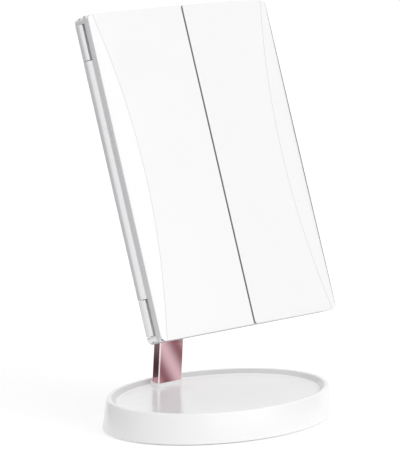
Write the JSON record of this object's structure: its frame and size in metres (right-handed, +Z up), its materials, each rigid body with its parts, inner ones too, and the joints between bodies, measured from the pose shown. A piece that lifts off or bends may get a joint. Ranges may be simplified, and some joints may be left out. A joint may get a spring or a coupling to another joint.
{
  "type": "trifold vanity mirror",
  "caption": "Table mirror with two fold-over wing mirrors on side hinges, a tilting lit centre mirror, a flat post and an oval tray base.",
  "frame": {"origin": "middle of the oval base on the table", "axes": "+Z up, -Y towards the person who sits at the mirror, +X to that person's right"},
  "size_m": [0.187, 0.1352, 0.2929],
  "materials": {
    "white_gloss": "gloss white moulding",
    "white_satin": "satin white moulding",
    "silver_paint": "satin silver-grey moulding",
    "rose_gold": "polished rose-gold plating",
    "steel": "plain",
    "weight_iron": "painted dark grey",
    "grey_plastic": "satin grey",
    "soft_pad": "matt pale grey",
    "mirror_glass": "silvered glass",
    "frosted": "frosted",
    "circuit": "green lacquer",
    "lamp": "clear over yellow",
    "foam": "dark grey foam sheet",
    "copper_foil": "copper foil",
    "nylon": "natural nylon",
    "cell_sleeve": "plain blue sleeve"
  },
  "bodies": {
    "base": {"base_shell": "white_satin", "base_weight": "weight_iron", "base_bottom_plate": "grey_plastic", "foot_ring": "soft_pad", "base_screws": "steel", "post_tube": "rose_gold", "post_collar": "white_satin", "post_foot_insert": "steel", "post_screws": "steel", "post_eye": "rose_gold"},
    "head": {"tilt_axle": "steel", "tilt_nut": "steel", "friction_washers": "nylon", "tilt_bracket": "rose_gold", "bracket_screws": "steel", "pivot_cover": "white_gloss", "centre_frame": "silver_paint", "centre_mirror": "mirror_glass", "light_diffuser": "frosted", "led_board": "circuit", "leds": "lamp", "mirror_backing": "foam", "touch_sensor": "copper_foil", "rear_housing": "white_gloss", "housing_screws": "steel", "control_board": "circuit", "usb_socket": "steel", "power_switch_body": "grey_plastic", "battery_cells": "cell_sleeve", "battery_contacts": "steel", "upper_left_knuckle": "silver_paint", "lower_left_knuckle": "white_gloss", "upper_right_knuckle": "silver_paint", "lower_right_knuckle": "white_gloss", "left_hinge_pins": "steel", "right_hinge_pins": "steel"},
    "left_wing": {"left_wing_cover": "white_gloss", "left_wing_frame": "silver_paint", "left_upper_glass": "mirror_glass", "left_lower_glass": "mirror_glass", "left_wing_backing": "foam", "left_wing_bushes": "nylon", "left_wing_bumpers": "soft_pad"},
    "right_wing": {"right_wing_cover": "white_gloss", "right_wing_frame": "silver_paint", "right_wing_glass": "mirror_glass", "right_wing_backing": "foam", "right_wing_bushes": "nylon", "right_wing_bumpers": "soft_pad"},
    "power_switch": {"power_switch_knob": "white_satin"},
    "battery_cover": {"battery_door": "white_gloss"}
  },
  "joints": [
    {"name": "head_tilt", "type": "hinge", "parent": "base", "child": "head", "pos_m": [0, 0.04087, 0.1862], "axis": [1, 0, 0], "range_deg": [-70, 22]},
    {"name": "left_wing_hinge", "type": "hinge", "parent": "head", "child": "left_wing", "pos_m": [-0.0856, 0.01335, 0.17959], "axis": [0, -0.3173, -0.9483], "range_deg": [0, 180]},
    {"name": "right_wing_hinge", "type": "hinge", "parent": "head", "child": "right_wing", "pos_m": [0.0856, 0.01335, 0.17959], "axis": [0, 0.3173, 0.9483], "range_deg": [0, 180]},
    {"name": "power_switch_slide", "type": "slide", "parent": "head", "child": "power_switch", "axis": [0, 0.3173, 0.9483], "range_m": [0, 0.003]},
    {"name": "battery_door_slide", "type": "slide", "parent": "head", "child": "battery_cover", "axis": [0, -0.3173, -0.9483], "range_m": [0, 0.02]}
  ]
}
